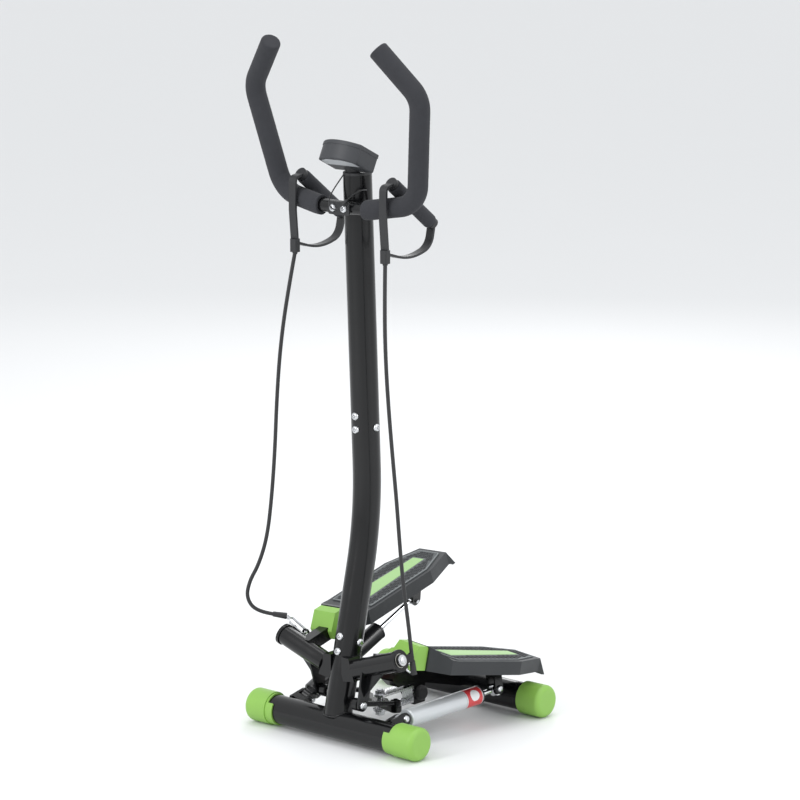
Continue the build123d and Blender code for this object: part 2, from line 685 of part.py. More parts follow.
with BuildPart() as sleeve_solid:
    add(rod(SLEEVE_INNER, PIVOT_END, SLEEVE_R))

LINK_PLATE_X = 59.0
CLEVIS_CENTRE = DAMPER_HEAD
with BuildPart() as pedal_arm:
    with BuildSketch(Plane(PEDAL.from_local_coords((ARM_X, -205, -PLATE_T - 0.3 - ARM / 2)),
                           x_dir=PEDAL.x_dir, z_dir=PEDAL.y_dir)):
        Rectangle(ARM, ARM)
    extrude(amount=335)
    with BuildSketch(Plane(PEDAL.from_local_coords((ARM_X, -150, -PLATE_T - 0.3 - ARM / 2)),
                           x_dir=PEDAL.x_dir, z_dir=PEDAL.y_dir)):
        Rectangle(ARM - 4, ARM - 4)
    extrude(amount=290, mode=Mode.SUBTRACT)
    with BuildSketch(Plane.YZ.offset(LINK_PLATE_X)):
        with BuildLine():
            Polyline((-168, 134), (-138, 134), (-143, LINK_BOLT.Z), (-163.6, LINK_BOLT.Z), close=True)
        make_face()
        with Locations((LINK_BOLT.Y, LINK_BOLT.Z)):
            Circle(10.3)
    extrude(amount=4)
    with BuildSketch(Plane.XZ.offset(151)):
        with BuildLine():
            Polyline((LINK_PLATE_X + 3, 84), (LINK_PLATE_X + 3, 134), (104, 146), (100, 134), close=True)
        make_face()
    extrude(amount=4)
    with BuildSketch(Plane.YZ.offset(LINK_PLATE_X - 1)):
        with Locations((LINK_BOLT.Y, LINK_BOLT.Z)):
            Circle(4.1)
    extrude(amount=6, mode=Mode.SUBTRACT)
    for near in (7.0, -7.0 - 3.0):
        with BuildSketch(Plane(CLEVIS_CENTRE + PIVOT_DIR * near, x_dir=(0, 1, 0.04), z_dir=PIVOT_DIR)):
            Circle(9.5)
            with Locations((0, 22)):
                Rectangle(19, 44)
            Circle(3.6, mode=Mode.SUBTRACT)
        extrude(amount=3)
    with BuildSketch(Plane(CLEVIS_CENTRE + PIVOT_DIR * -10.0, x_dir=(0, 1, 0.04), z_dir=PIVOT_DIR)):
        with Locations((0, 40)):
            Rectangle(19, 8)
    extrude(amount=20)
    add(sleeve_solid.part, mode=Mode.SUBTRACT)

with BuildPart() as sleeve:
    add(sleeve_solid.part)
    add(rod(PIVOT_END - PIVOT_DIR * 5, PIVOT_END + PIVOT_DIR * 0.4, 19.0))
    add(rod(SLEEVE_INNER - PIVOT_DIR, PIVOT_END + PIVOT_DIR * 2, 12.0), mode=Mode.SUBTRACT)

BUSH_L = 14.0
bush_inner = rod(SLEEVE_INNER + PIVOT_DIR * 0.5, SLEEVE_INNER + PIVOT_DIR * BUSH_L, 12.0, AXLE_R + SWIVEL_GAP)
bush_outer = rod(PIVOT_END - PIVOT_DIR * BUSH_L, PIVOT_END, 12.0, AXLE_R + SWIVEL_GAP)
bushes = group(bush_inner, bush_outer)

link_bolt = dome_bolt(Vector(LINK_PLATE_X + 4, LINK_BOLT.Y, LINK_BOLT.Z), (1, 0, 0), 7.0, 5.0, PIN_R, 21)
clevis_bolt = dome_bolt(CLEVIS_CENTRE + PIVOT_DIR * 10, PIVOT_DIR, 6.0, 4.0, 3.5, 23)
pedal_bolts = group(link_bolt, clevis_bolt)

pedal_pieces = {
    "pedal_plate": pedal_plate.part,
    "tread": tread.part,
    "toe_cover": toe_cover.part,
    "pedal_arm": pedal_arm.part,
    "sleeve": sleeve.part,
    "bushes": bushes,
    "pedal_bolts": pedal_bolts,
}
for name, side in SIDES.items():
    for piece, shape in pedal_pieces.items():
        save(pedal_pose(shape, side), f"{name}_{piece}")

# ---------- resistance-band handles ----------
GRIP_DIR = (GRIP_END - GRIP_TOP).normalized()
HANDLE_GRIP_R = 12.3
CORE_R = 6.0
CONNECTOR = Vector(HANDLE_X, -150, 838)
STRAP_POINTS = [GRIP_TOP - GRIP_DIR * 5, Vector(HANDLE_X, -153.5, 947), Vector(HANDLE_X, -154.5, 893),
                CONNECTOR, Vector(HANDLE_X, -96, 822), Vector(HANDLE_X, -42, 838), GRIP_END + GRIP_DIR * 5]
with BuildPart() as handle_strap:
    with BuildLine() as strap_line:
        FilletPolyline(*STRAP_POINTS, radius=[9, 18, 7, 110, 30])
    with BuildSketch(Plane(strap_line.line @ 0, x_dir=(1, 0, 0), z_dir=strap_line.line % 0)):
        Rectangle(15, 4)
    sweep()
    add(rod(GRIP_TOP - GRIP_DIR * 8, GRIP_END + GRIP_DIR * 8, CORE_R))
    add(rod(GRIP_TOP - GRIP_DIR * 8, GRIP_TOP - GRIP_DIR * 0.6, 10.5))
    add(rod(GRIP_END + GRIP_DIR * 0.6, GRIP_END + GRIP_DIR * 8, 10.5))
    with BuildSketch(Plane(CONNECTOR + Vector(0, 0, -16))):
        RectangleRounded(15, 13, 4)
    extrude(amount=22)
handle_grip = rod(GRIP_TOP, GRIP_END, HANDLE_GRIP_R, CORE_R + SWIVEL_GAP)
save(both(handle_strap.part), "handle_straps")
for name, side in SIDES.items():
    save(handed(handle_grip, side), f"{name}_handle_grip")

# ---------- elastic bands, their ends and hooks ----------
BAND_ROUTES = {
    "right": [(100, -150, 822), (98.5, -150.5, 740), (99.5, -149, 656), (102.5, -145.5, 577),
              (107, -141.5, 500), (112, -137, 420), (114.5, -132.5, 346), (118, -127.5, 276),
              (123.5, -121.5, 212), (127.5, -117, 152)],
    "left": [(-100, -150, 822), (-113, -158.5, 740), (-124, -163.5, 656), (-130, -166.5, 570),
             (-134, -168, 484), (-140, -171, 400), (-148, -175, 330), (-163, -181, 281),
             (-178, -188, 252), (-183.5, -191, 222), (-171, -180, 198), (-150.5, -160, 193)],
}
BAND_END_L = 24.0
HOOK_WIRE_R = 2.0
HOOK_HALF_W = 6.5
GATE_R = 1.5
band_ends = []
hooks = []
for name, side in SIDES.items():
    route = BAND_ROUTES[name]
    save(cord_tube(route, BAND_R, f"{name}_band"), f"{name}_band")
    end = Vector(*route[-1])
    out = (end - Vector(*route[-2])).normalized()
    tip = end + out * BAND_END_L
    with BuildPart() as band_end:
        with BuildSketch(Plane(end, z_dir=out)):
            Circle(BAND_R + 1.2)
        with BuildSketch(Plane(end + out * BAND_END_L, z_dir=out)):
            Circle(BAND_R + 2.4)
        loft()
    band_ends.append(band_end.part)
    eye = Vector(side * EYE.X, EYE.Y, EYE.Z)
    span = (tip - eye).length
    reach = (tip - eye).normalized()
    across = (Vector(0, 1, 0) - reach * reach.Y).normalized()
    hook_plane = Plane(eye, x_dir=reach, z_dir=reach.cross(across))
    loop_l = span - 5.5
    gate_from, gate_to = 8.0, loop_l - 8.0
    gate_y = HOOK_HALF_W if reach.Y > 0 else -HOOK_HALF_W
    with BuildPart() as hook:
        with BuildLine(hook_plane) as loop:
            Line((HOOK_HALF_W, HOOK_HALF_W), (loop_l - HOOK_HALF_W, HOOK_HALF_W))
            ThreePointArc((loop_l - HOOK_HALF_W, HOOK_HALF_W), (loop_l, 0),
                          (loop_l - HOOK_HALF_W, -HOOK_HALF_W))
            Line((loop_l - HOOK_HALF_W, -HOOK_HALF_W), (HOOK_HALF_W, -HOOK_HALF_W))
            ThreePointArc((HOOK_HALF_W, -HOOK_HALF_W), (0, 0), (HOOK_HALF_W, HOOK_HALF_W))
        with BuildSketch(Plane(hook_plane.from_local_coords((HOOK_HALF_W, HOOK_HALF_W, 0)), z_dir=reach)):
            Circle(HOOK_WIRE_R)
        sweep()
        add(rod(tip - reach * 6.5, tip, 3.4))
        gap_from = hook_plane.from_local_coords((gate_from, gate_y, 0))
        gap_to = hook_plane.from_local_coords((gate_to, gate_y, 0))
        add(rod(gap_from, gap_to, 3.0), mode=Mode.SUBTRACT)
        add(band_end.part, mode=Mode.SUBTRACT)
    hooks.append(hook.part.solids().sort_by(SortBy.VOLUME)[-1])
    gate = rod(gap_from + reach * 0.4, gap_to - reach * 0.4, GATE_R)
    save(gate, f"{name}_hook_gate")
    print(name, "gate hinge", gap_to, "axis", hook_plane.z_dir)
save(group(*band_ends), "band_ends")
save(group(*hooks), "snap_hooks")

# ---------- sensor lead ----------
LEAD_ROUTE = [(4, -136, 966), (0, -146, 952), (-7, -154, 937), (-12, -161, 922), (-8, -165.5, 909),
              (3, -166.5, 902.5), (14, -161.5, 908), (21, -150.5, 922), (26.5, -135, 932), (28, -121, 934),
              (23.8, -109.5, 932)]
LEAD_PLUG_R = 2.4
LEAD_PLUG_RUN = (Vector(*LEAD_ROUTE[6]), Vector(*LEAD_ROUTE[7]))
save(cord_tube(LEAD_ROUTE, LEAD_R, "sensor_lead"), "sensor_lead")
plug_step = (LEAD_PLUG_RUN[1] - LEAD_PLUG_RUN[0]) * 0.2
save(rod(LEAD_PLUG_RUN[0] + plug_step, LEAD_PLUG_RUN[1] - plug_step, LEAD_PLUG_R, LEAD_R), "sensor_plug")

# ---------- values that the joints use ----------
print("pedal axis", PIVOT_DIR, "damper axis", DAMPER_AXIS, "down", DAMPER_DOWN, "up", DAMPER_UP)
print("damper swing", (DAMPER_DOWN - DAMPER_FOOT).get_angle(DAMPER_UP - DAMPER_FOOT), "lengths",
      CLOSED_LENGTH, (DAMPER_UP - DAMPER_FOOT).length)
print("rocker ends", rocker_end(1), rocker_end(-1), "face normal", FACE_NORMAL, "grip", GRIP_TOP, GRIP_DIR)
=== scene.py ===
"""Twist mini-stepper: finishes, cords, moulded and welded detail, light and camera."""
import json
from math import cos, pi, radians, sin, sqrt

import bmesh
import bpy
from mathutils import Matrix, Vector, noise

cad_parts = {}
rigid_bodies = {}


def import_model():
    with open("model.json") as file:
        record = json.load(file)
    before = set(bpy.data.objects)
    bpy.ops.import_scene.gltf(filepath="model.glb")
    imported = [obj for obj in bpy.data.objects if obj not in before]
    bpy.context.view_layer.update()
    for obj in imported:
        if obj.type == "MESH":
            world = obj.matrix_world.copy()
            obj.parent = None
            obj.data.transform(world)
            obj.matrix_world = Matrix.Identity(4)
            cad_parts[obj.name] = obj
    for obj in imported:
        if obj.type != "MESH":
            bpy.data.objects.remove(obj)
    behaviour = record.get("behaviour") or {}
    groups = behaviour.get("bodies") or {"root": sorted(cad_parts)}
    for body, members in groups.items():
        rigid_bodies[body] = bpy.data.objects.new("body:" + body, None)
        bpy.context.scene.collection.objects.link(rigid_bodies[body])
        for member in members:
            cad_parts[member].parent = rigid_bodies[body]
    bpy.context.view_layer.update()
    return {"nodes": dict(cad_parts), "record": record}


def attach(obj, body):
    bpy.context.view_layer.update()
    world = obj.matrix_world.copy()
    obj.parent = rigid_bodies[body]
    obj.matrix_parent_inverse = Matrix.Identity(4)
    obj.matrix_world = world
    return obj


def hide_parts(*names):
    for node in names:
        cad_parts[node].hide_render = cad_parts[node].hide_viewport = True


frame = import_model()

MM = 0.001
SIDES = {"right": 1, "left": -1}

# ---------- camera ----------
camera_data = bpy.data.cameras.new("camera")
camera_data.lens = 149.1
camera_data.sensor_width = 36
camera = bpy.data.objects.new("camera", camera_data)
camera.matrix_world = (Matrix.Translation((3.6281, -4.1390, 1.6504)) @ Matrix.Rotation(radians(41.24), 4, "Z")
                       @ Matrix.Rotation(radians(78.8), 4, "X") @ Matrix.Rotation(radians(-0.19), 4, "Z"))
bpy.context.collection.objects.link(camera)
bpy.context.scene.camera = camera


# ---------- materials ----------
def finish(name, colour, rough, metallic=0.0, mottle=0.08, mottle_size=0.03, grain=0.15, grain_size=0.0008,
           grain_depth=0.00015, stretch=(1, 1, 1), coat=0.0, coat_rough=0.1, sheen=0.0, specular=0.5):
    """A finish whose colour and gloss wander slowly over the surface, with a fine grain in its relief."""
    material = bpy.data.materials.new(name)
    material.use_nodes = True
    nodes, links = material.node_tree.nodes, material.node_tree.links
    shader = nodes["Principled BSDF"]
    shader.inputs["Metallic"].default_value = metallic
    shader.inputs["Coat Weight"].default_value = coat
    shader.inputs["Coat Roughness"].default_value = coat_rough
    shader.inputs["Sheen Weight"].default_value = sheen
    shader.inputs["Specular IOR Level"].default_value = specular
    place = nodes.new("ShaderNodeTexCoord")
    scale = nodes.new("ShaderNodeMapping")
    scale.inputs["Scale"].default_value = stretch
    links.new(place.outputs["Object"], scale.inputs["Vector"])
    slow = nodes.new("ShaderNodeTexNoise")
    slow.inputs["Scale"].default_value = 1 / mottle_size
    slow.inputs["Detail"].default_value = 4
    links.new(place.outputs["Object"], slow.inputs["Vector"])
    tint = nodes.new("ShaderNodeMix")
    tint.data_type = "RGBA"
    tint.inputs["A"].default_value = [c * (1 - mottle) for c in colour] + [1]
    tint.inputs["B"].default_value = [min(1, c * (1 + mottle)) for c in colour] + [1]
    links.new(slow.outputs["Fac"], tint.inputs["Factor"])
    links.new(tint.outputs["Result"], shader.inputs["Base Color"])
    gloss = nodes.new("ShaderNodeMapRange")
    gloss.inputs["From Min"].default_value = 0.3
    gloss.inputs["From Max"].default_value = 0.7
    gloss.inputs["To Min"].default_value = max(0.03, rough - 0.05)
    gloss.inputs["To Max"].default_value = min(1, rough + 0.05)
    links.new(slow.outputs["Fac"], gloss.inputs["Value"])
    links.new(gloss.outputs["Result"], shader.inputs["Roughness"])
    fine = nodes.new("ShaderNodeTexNoise")
    fine.inputs["Scale"].default_value = 1 / grain_size
    fine.inputs["Detail"].default_value = 3
    links.new(scale.outputs["Vector"], fine.inputs["Vector"])
    relief = nodes.new("ShaderNodeBump")
    relief.inputs["Strength"].default_value = grain
    relief.inputs["Distance"].default_value = grain_depth
    links.new(fine.outputs["Fac"], relief.inputs["Height"])
    links.new(relief.outputs["Normal"], shader.inputs["Normal"])
    return material


FINISHES = {
    "black_paint": finish("black_paint", (0.0035, 0.0037, 0.0042), 0.2, grain=0.12, grain_size=0.004, specular=0.42),
    "green_plastic": finish("green_plastic", (0.235, 0.455, 0.078), 0.45, mottle=0.05, grain=0.2, grain_size=0.0007),
    "foam": finish("foam", (0.040, 0.041, 0.046), 0.95, mottle=0.14, mottle_size=0.012, grain=0.75,
                   grain_size=0.0011, grain_depth=0.0004, sheen=0.05, specular=0.15),
    "zinc": finish("zinc", (0.66, 0.67, 0.69), 0.27, 1.0, mottle=0.14, mottle_size=0.006, grain=0.2),
    "chrome": finish("chrome", (0.80, 0.81, 0.83), 0.1, 1.0, mottle=0.04, grain=0.06, stretch=(4, 0.3, 4)),
    "grey_plastic": finish("grey_plastic", (0.033, 0.035, 0.040), 0.5, grain=0.35, grain_size=0.0009),
    "black_plastic": finish("black_plastic", (0.016, 0.0165, 0.0185), 0.46, grain=0.35, grain_size=0.0009),
    "rubber": finish("rubber", (0.017, 0.0172, 0.0185), 0.62, mottle=0.12, grain=0.35, grain_size=0.0012, sheen=0.1),
    "lcd": finish("lcd", (0.27, 0.31, 0.25), 0.18, mottle=0.05, grain=0.02, coat=0.6),
    "damper_silver": finish("damper_silver", (0.62, 0.645, 0.665), 0.34, 0.35, mottle=0.05, grain=0.15,
                            grain_size=0.0012),
    "damper_black": finish("damper_black", (0.014, 0.0145, 0.016), 0.3, grain=0.15, coat=0.3),
    "bush_nylon": finish("bush_nylon", (0.66, 0.65, 0.60), 0.5, mottle=0.06, grain=0.15),
    "pedal_plastic": finish("pedal_plastic", (0.017, 0.0195, 0.0225), 0.5, grain=0.4, grain_size=0.0010,
                            grain_depth=0.0002),
    "tread_rubber": finish("tread_rubber", (0.075, 0.083, 0.086), 0.7, mottle=0.15, mottle_size=0.008, grain=0.4),
}
INLAY = finish("inlay_green", (0.29, 0.49, 0.19), 0.5, mottle=0.05, mottle_size=0.02, grain=0.25)
BORDER = finish("tread_border_grey", (0.20, 0.215, 0.22), 0.6, mottle=0.1, grain=0.3)
STUD = finish("tread_stud_dark", (0.024, 0.026, 0.029), 0.6, mottle=0.15, mottle_size=0.01, grain=0.4)
LABEL_RED = finish("label_red", (0.60, 0.045, 0.050), 0.34, mottle=0.05, grain=0.1, coat=0.3)
LABEL_WHITE = finish("label_white", (0.78, 0.79, 0.80), 0.4, mottle=0.03, grain=0.1, coat=0.2)
LABEL_GREY = finish("label_grey", (0.42, 0.44, 0.46), 0.4, mottle=0.04, grain=0.1, coat=0.2)
# near-black metal that is painted shade: it stands in for the shade inside the bolt sockets and the console notch
RECESS_SHADE = finish("painted_recess_shade", (0.03, 0.03, 0.033), 0.45, 0.6, grain=0.2)
DIGIT = finish("digit_dark", (0.03, 0.035, 0.03), 0.4, mottle=0.05, grain=0.05)

for part in frame["record"]["subparts"]:
    node = frame["nodes"][part["node"]]
    for held in [node, *node.children_recursive]:
        if held.type == "MESH":
            for index in range(max(1, len(held.material_slots))):
                if not held.material_slots:
                    held.data.materials.append(None)
                held.material_slots[index].material = FINISHES[part["material_slot"]]


# ---------- the cords: two resistance bands and the sensor lead ----------
def cord_curve(name, route_mm, radius_mm):
    """One smooth NURBS line with the route's points as its control points."""
    data = bpy.data.curves.new(name, "CURVE")
    data.dimensions = "3D"
    line = data.splines.new("NURBS")
    line.points.add(len(route_mm) - 1)
    for point, place in zip(line.points, route_mm):
        point.co = (*(c * MM for c in place), 1)
    line.order_u = 3
    line.use_endpoint_u = True
    line.resolution_u = 12
    data.bevel_depth = radius_mm * MM
    data.bevel_resolution = 6
    data.use_fill_caps = True
    piece = bpy.data.objects.new(name, data)
    bpy.context.collection.objects.link(piece)
    return piece


BAND_R = 3.3
BAND_ROUTES = {
    "right": [(100, -150, 822), (98.5, -150.5, 740), (99.5, -149, 656), (102.5, -145.5, 577), (107, -141.5, 500),
              (112, -137, 420), (114.5, -132.5, 346), (118, -127.5, 276), (123.5, -121.5, 212),
              (127.5, -117, 152)],
    "left": [(-100, -150, 822), (-113, -158.5, 740), (-124, -163.5, 656), (-130, -166.5, 570), (-134, -168, 484),
             (-140, -171, 400), (-148, -175, 330), (-163, -181, 281), (-178, -188, 252), (-183.5, -191, 222),
             (-171, -180, 198), (-150.5, -160, 193)],
}


CREASE = radians(35)


def add_mesh(name, builder, material, body, smooth=False, bevel=0.0):
    """A mesh piece that rides on a body, with its edges softened by a bevel when a bevel width is given."""
    mesh = bpy.data.meshes.new(name)
    bm = bmesh.new()
    builder(bm)
    bmesh.ops.recalc_face_normals(bm, faces=bm.faces)
    for face in bm.faces:
        face.smooth = smooth
    for edge in bm.edges:
        edge.smooth = edge.calc_face_angle(0) < CREASE
    bm.to_mesh(mesh)
    bm.free()
    mesh.materials.append(material)
    piece = bpy.data.objects.new(name, mesh)
    bpy.context.collection.objects.link(piece)
    if bevel:
        soft = piece.modifiers.new("soft_edges", "BEVEL")
        soft.width = bevel
        soft.segments = 2
        soft.limit_method = "ANGLE"
    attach(piece, body)
    return piece


def revolve(profile, start, axis, steps=48):
    """A builder that turns (distance along, radius) points about an axis, in millimetres."""
    way = axis.normalized()
    across = way.orthogonal().normalized()
    third = way.cross(across)

    def build(bm):
        rings = []
        for along, radius in profile:
            rings.append([bm.verts.new((start + way * along + (across * cos(2 * pi * i / steps)
                          + third * sin(2 * pi * i / steps)) * radius) * MM) for i in range(steps)])
        for low, high in zip(rings, rings[1:] + rings[:1]):
            for i in range(steps):
                bm.faces.new((low[i], low[(i + 1) % steps], high[(i + 1) % steps], high[i]))
    return build


CRIMP = [(0, 3.4), (0, 4.1), (0.5, 4.4), (2.5, 4.4), (3.0, 4.1), (3.0, 3.4)]
for side, route in BAND_ROUTES.items():
    band = cord_curve(f"{side}_band_cord", route, BAND_R)
    band.data.materials.append(FINISHES["rubber"])
    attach(band, "frame")
    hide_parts(f"{side}_band")
    # a crimped collar where the band leaves the handle's connector
    start, leaving = Vector(route[0]), Vector(route[1]) - Vector(route[0])
    collar = add_mesh(f"{side}_band_collar", revolve(CRIMP, start, leaving),
                      FINISHES["black_plastic"], "frame", smooth=True)
    on_band = [collar, frame["nodes"][f"{side}_hook_gate"]]
    if side == "left":
        on_band += [frame["nodes"]["band_ends"], frame["nodes"]["snap_hooks"]]

LEAD_R = 1.1
LEAD_ROUTE = [(4, -136, 966), (0, -146, 952), (-7, -154, 937), (-12, -161, 922), (-8, -165.5, 909),
              (3, -166.5, 902.5), (14, -161.5, 908), (21, -150.5, 922), (26.5, -135, 932), (28, -121, 934),
              (23.8, -109.5, 932)]
lead = cord_curve("sensor_lead_cord", LEAD_ROUTE, LEAD_R)
lead.data.materials.append(FINISHES["rubber"])
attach(lead, "frame")
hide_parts("sensor_lead")

# ---------- foam covers on the bar and on the handles ----------
FOAM_CELL = 0.0018
FOAM_SINK = 0.00016
FOAM_RIPPLE = 0.00013


def foam_cover(node_name, body):
    """A rounded foam sleeve in the space of its CAD solid, with the slightly uneven skin of cut foam."""
    mesh = frame["nodes"][node_name].data.copy()
    bm = bmesh.new()
    bm.from_mesh(mesh)
    bmesh.ops.remove_doubles(bm, verts=bm.verts, dist=0.00001)
    bm.to_mesh(mesh)
    bm.free()
    rough = bpy.data.objects.new(f"{node_name}_rough", mesh)
    bpy.context.collection.objects.link(rough)
    cells = rough.modifiers.new("cells", "REMESH")
    cells.mode = "VOXEL"
    cells.voxel_size = FOAM_CELL
    relax = rough.modifiers.new("relax", "SMOOTH")
    relax.iterations = 4
    made = bpy.data.meshes.new_from_object(rough.evaluated_get(bpy.context.evaluated_depsgraph_get()))
    bpy.data.objects.remove(rough)
    for vertex, normal in zip(made.vertices, [v.normal.copy() for v in made.vertices]):
        vertex.co += normal * (FOAM_RIPPLE * noise.noise(vertex.co * 260) - FOAM_SINK)
    made.materials.clear()
    made.materials.append(FINISHES["foam"])
    made.shade_smooth()
    piece = bpy.data.objects.new(f"{node_name}_foam", made)
    bpy.context.collection.objects.link(piece)
    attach(piece, body)
    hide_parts(node_name)


for side in SIDES:
    foam_cover(f"{side}_foam_grip", "frame")
    foam_cover(f"{side}_handle_grip", f"{side}_grip")

# ---------- pedal tread ----------
PIVOT = Vector((132.4, -153, 160.1))
PIVOT_DIR = Vector((cos(radians(18.5)), 0, sin(radians(18.5))))
HALF_SWING = radians(27.5 / 2)
PEDAL_ORIGIN = Vector((96.8, 50, 172.1))
PEDAL_ANGLES = [radians(a) for a in (2.4, 3.1, -2.5)]
PEDAL_LEVEL = Matrix.Translation(PEDAL_ORIGIN)
for angle, letter in zip(PEDAL_ANGLES, "XYZ"):
    PEDAL_LEVEL = PEDAL_LEVEL @ Matrix.Rotation(angle, 4, letter)


def pedal_frame(side):
    """The pedal's own frame at rest: the right pedal is down, and the left one is up and mirrored."""
    swing = (Matrix.Translation(PIVOT) @ Matrix.Rotation(-side * HALF_SWING, 4, PIVOT_DIR)
             @ Matrix.Translation(-PIVOT))
    mirror = Matrix.Diagonal((side, 1, 1, 1))
    return Matrix.Scale(MM, 4) @ mirror @ swing @ PEDAL_LEVEL


TREAD_TOP = 1.4
TREAD_EDGE = [(-47.7, -75), (47.7, -75), (47.7, 72), (24, 132), (-24, 132), (-47.7, 72)]
INLAY_EDGE = [(-19, -62), (19, -62), (12.5, 102), (-12.5, 102)]


def inset(outline, by):
    """The convex outline moved inwards by a distance, or outwards when it is negative."""
    lines = []
    for (ax, ay), (bx, by_) in zip(outline, outline[1:] + outline[:1]):
        run = sqrt((bx - ax) ** 2 + (by_ - ay) ** 2)
        nx, ny = -(by_ - ay) / run, (bx - ax) / run
        lines.append((nx, ny, nx * ax + ny * ay + by))
    moved = []
    for (a, b, c), (d, e, f) in zip(lines[-1:] + lines[:-1], lines):
        det = a * e - b * d
        moved.append(((c * e - b * f) / det, (a * f - c * d) / det))
    return moved


def inside(x, y, outline):
    return all((bx - ax) * (y - ay) - (by - ay) * (x - ax) >= 0
               for (ax, ay), (bx, by) in zip(outline, outline[1:] + outline[:1]))


def slab(place, layers):
    """A builder that joins outlines at given heights and closes the bottom and the top."""
    def build(bm):
        rings = [[bm.verts.new(place @ Vector((x, y, z))) for x, y in outline] for outline, z in layers]
        for low, high in zip(rings, rings[1:]):
            for i in range(len(low)):
                j = (i + 1) % len(low)
                bm.faces.new((low[i], low[j], high[j], high[i]))
        bm.faces.new(rings[0])
        bm.faces.new(rings[-1])
    return build


def tread_border(place, outer, width, low, high):
    """A raised line with a rounded top along the inside of the outline."""
    steps = [(0, low), (0.25 * width, high), (0.75 * width, high), (width, low)]

    def build(bm):
        rings = [[bm.verts.new(place @ Vector((x, y, z))) for x, y in inset(outer, d)] for d, z in steps]
        for near, far in zip(rings, rings[1:]):
            for i in range(len(near)):
                j = (i + 1) % len(near)
                bm.faces.new((near[i], near[j], far[j], far[i]))
    return build


STUD_PITCH = (6.6, 5.2)
STUD_SIZE = (4.9, 3.3)
STUD_HEIGHT = 1.0


def tread_studs(place):
    """Rows of small raised studs, every other row shifted by half a pitch."""
    field = inset(TREAD_EDGE, 4.2)
    keep_out = inset(INLAY_EDGE, -2.6)

    def build(bm):
        for row in range(-15, 27):
            y = row * STUD_PITCH[1]
            for column in range(-8, 9):
                x = (column + 0.5 * (row % 2)) * STUD_PITCH[0]
                hx, hy = STUD_SIZE[0] / 2, STUD_SIZE[1] / 2
                corners = [(x - hx, y - hy), (x + hx, y - hy), (x + hx, y + hy), (x - hx, y + hy)]
                if not all(inside(*corner, field) for corner in corners):
                    continue
                if any(inside(*corner, keep_out) for corner in corners):
                    continue
                slab(place, [(corners, TREAD_TOP), (corners, TREAD_TOP + STUD_HEIGHT / 2),
                             (inset(corners, 0.6), TREAD_TOP + STUD_HEIGHT)])(bm)
    return build


BORDER_TOP = TREAD_TOP + 0.8
for side, sign in SIDES.items():
    place = pedal_frame(sign)
    body = f"{side}_pedal"
    add_mesh(f"{side}_tread_studs", tread_studs(place), STUD, body)
    add_mesh(f"{side}_tread_border", tread_border(place, inset(TREAD_EDGE, 1.0), 2.0, TREAD_TOP, BORDER_TOP),
             BORDER, body, smooth=True)
    add_mesh(f"{side}_tread_inlay", slab(place, [(INLAY_EDGE, TREAD_TOP), (INLAY_EDGE, TREAD_TOP + 0.7),
             (inset(INLAY_EDGE, 0.5), TREAD_TOP + 1.1)]), INLAY, body)
    add_mesh(f"{side}_inlay_rim", tread_border(place, inset(INLAY_EDGE, -2.0), 1.3, TREAD_TOP, BORDER_TOP),
             BORDER, body, smooth=True)

# ---------- damper crimps, and the label on the right damper ----------
DAMPER_FOOT = Vector((108, -123, 47))
DAMPER_HEADS = {"right": Vector((122.098, 106.797, 51.737)), "left": Vector((-80.467, 123.384, 176.160))}
DAMPER_R = 16.0
DAMPER_CRIMP = [(184, 15.7), (184, 16.3), (185, 16.6), (187.0, 16.4), (187.2, 15.7)]
LABEL_START, LABEL_STOP, BAND_STOP, BADGE_MIDDLE = 18, 147, 182, 165  # mm along the damper from its foot
BADGE_FACES = Vector((1, -0.2, 0.55))


def sleeve(start, stop, radius):
    """The closed profile of a thin wrapped label."""
    return [(start, radius - 0.3), (start, radius + 0.12), (stop, radius + 0.12), (stop, radius - 0.3)]


for side, sign in SIDES.items():
    foot = Vector((sign * DAMPER_FOOT.x, DAMPER_FOOT.y, DAMPER_FOOT.z))
    way = (DAMPER_HEADS[side] - foot).normalized()
    body = f"{side}_damper"
    add_mesh(f"{side}_damper_crimp", revolve(DAMPER_CRIMP, foot, way), FINISHES["damper_black"], body,
             smooth=True)
    if side == "left":
        continue
    add_mesh("right_damper_label", revolve(sleeve(LABEL_START, LABEL_STOP, DAMPER_R), foot, way),
             FINISHES["damper_silver"], body, smooth=True)
    add_mesh("right_damper_band", revolve(sleeve(LABEL_STOP + 0.05, BAND_STOP, DAMPER_R), foot, way),
             LABEL_RED, body, smooth=True)
    add_mesh("right_damper_rule", revolve(sleeve(143.4, 144.4, DAMPER_R + 0.03), foot, way), LABEL_GREY, body,
             smooth=True)
    outward = (BADGE_FACES - way * BADGE_FACES.dot(way)).normalized()
    sideways = way.cross(outward)

    def badge(bm, centre=foot + way * BADGE_MIDDLE, steps=40, rings=5, radius=10.5):
        """A round spot laid over the cylinder."""
        def on_label(u, v, lift):
            turn = u / DAMPER_R
            return (centre + way * v + (outward * cos(turn) + sideways * sin(turn)) * (DAMPER_R + lift)) * MM
        middle = bm.verts.new(on_label(0, 0, 0.22))
        last = None
        for ring in range(1, rings + 1):
            reach = radius * ring / rings
            lift = 0.22 if ring < rings else 0.10
            turns = [2 * pi * i / steps for i in range(steps)]
            now = [bm.verts.new(on_label(reach * cos(turn), reach * sin(turn), lift)) for turn in turns]
            for i in range(steps):
                j = (i + 1) % steps
                bm.faces.new((now[i], now[j], last[j], last[i]) if last else (now[i], now[j], middle))
            last = now
    add_mesh("right_damper_badge", badge, LABEL_WHITE, body, smooth=True)


